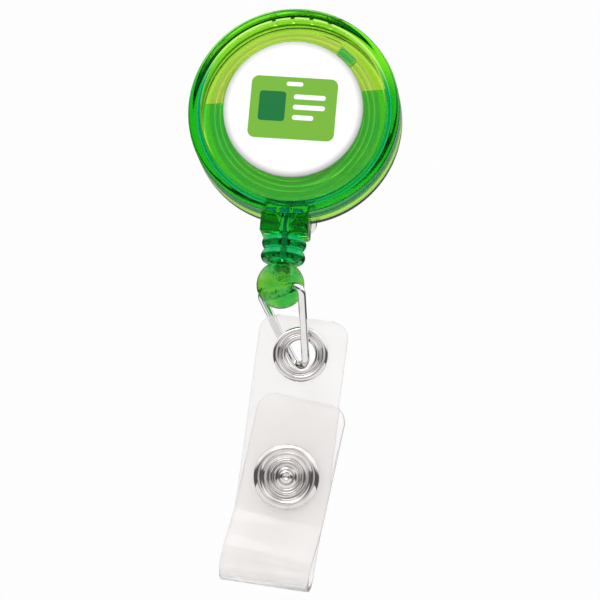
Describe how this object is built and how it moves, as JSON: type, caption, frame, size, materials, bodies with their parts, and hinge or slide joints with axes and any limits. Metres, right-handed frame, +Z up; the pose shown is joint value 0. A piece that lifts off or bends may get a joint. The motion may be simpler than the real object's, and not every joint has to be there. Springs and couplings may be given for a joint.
{
  "type": "retractable badge reel",
  "caption": "Retractable badge reel: round clear plastic casing with a sprung cord, ribbed stop and ball, wire link, snap strap and belt clip.",
  "frame": {"origin": "where the reel's axis meets the casing's flat back face, which the belt clip is riveted to", "axes": "+Z up, from the cord's outlet towards the top of the reel; -Y out of the label towards the viewer; +X to the viewer's right"},
  "size_m": [0.0318, 0.0137, 0.0868],
  "materials": {
    "casing_green": "clear moulded, high gloss",
    "label_white": "printed, satin",
    "clip_chrome": "polished",
    "spring_steel": "blued strip",
    "spool_green": "clear moulded",
    "cover_green": "clear moulded",
    "cord_white": "braided nylon",
    "stop_green": "clear moulded, high gloss",
    "ball_green": "clear moulded, high gloss",
    "link_chrome": "polished",
    "strap_vinyl": "frosted, soft",
    "nickel": "bright nickel plate"
  },
  "bodies": {
    "casing": {"front_shell": "casing_green", "back_shell": "casing_green", "label_disc": "label_white", "clip_plate": "clip_chrome", "clip_rivet": "clip_chrome", "mainspring": "spring_steel"},
    "clip": {"clip_arm": "clip_chrome"},
    "reel": {"spool": "spool_green", "spool_cover": "cover_green", "cord_winding": "cord_white"},
    "cord_end": {"cord_lead": "cord_white", "cord_knot": "cord_white"},
    "end_fitting": {"cord_stop": "stop_green", "end_ball": "ball_green"},
    "link": {"wire_link": "link_chrome"},
    "strap": {"strap_back": "strap_vinyl", "eyelet_barrel": "nickel", "eyelet_washer": "nickel", "snap_stud": "nickel", "snap_post": "nickel"},
    "flap": {"strap_flap": "strap_vinyl", "snap_cap": "nickel", "snap_socket": "nickel"}
  },
  "joints": [
    {"name": "cord_pull", "type": "slide", "parent": "casing", "child": "cord_end", "axis": [0, 0, -1], "range_m": [0, 0.87], "stiffness_N_per_m": 0.4, "springref_m": -2, "deforming": ["cord_lead"]},
    {"name": "spool_spin", "type": "hinge", "parent": "casing", "child": "reel", "pos_m": [0, 0, 0], "axis": [0, 1, 0], "range_deg": [0, 4321], "deforming": ["mainspring"]},
    {"name": "end_swivel", "type": "hinge", "parent": "cord_end", "child": "end_fitting", "pos_m": [0, -0.00455, -0.02], "axis": [0, 0, 1], "continuous": true},
    {"name": "link_swing", "type": "hinge", "parent": "end_fitting", "child": "link", "pos_m": [0, -0.00455, -0.0266], "axis": [0.7071, -0.7071, 0], "range_deg": [-80, 30]},
    {"name": "strap_swing", "type": "hinge", "parent": "link", "child": "strap", "pos_m": [0.00376, -0.00079, -0.03719], "axis": [0, -0.9903, -0.1392], "range_deg": [-12, 12]},
    {"name": "flap_open", "type": "hinge", "parent": "strap", "child": "flap", "pos_m": [0.00164, 0.00228, -0.06946], "axis": [0.9982, 0.0083, -0.0587], "range_deg": [0, 120]},
    {"name": "clip_flex", "type": "hinge", "parent": "casing", "child": "clip", "pos_m": [0, 0.0021, 0.01435], "axis": [1, 0, 0], "range_deg": [0, 8], "stiffness_Nm_per_rad": 0.05}
  ],
  "couplings": [
    {"joint": "spool_spin", "follows": "cord_pull", "rad_per_m": 86.665}
  ]
}
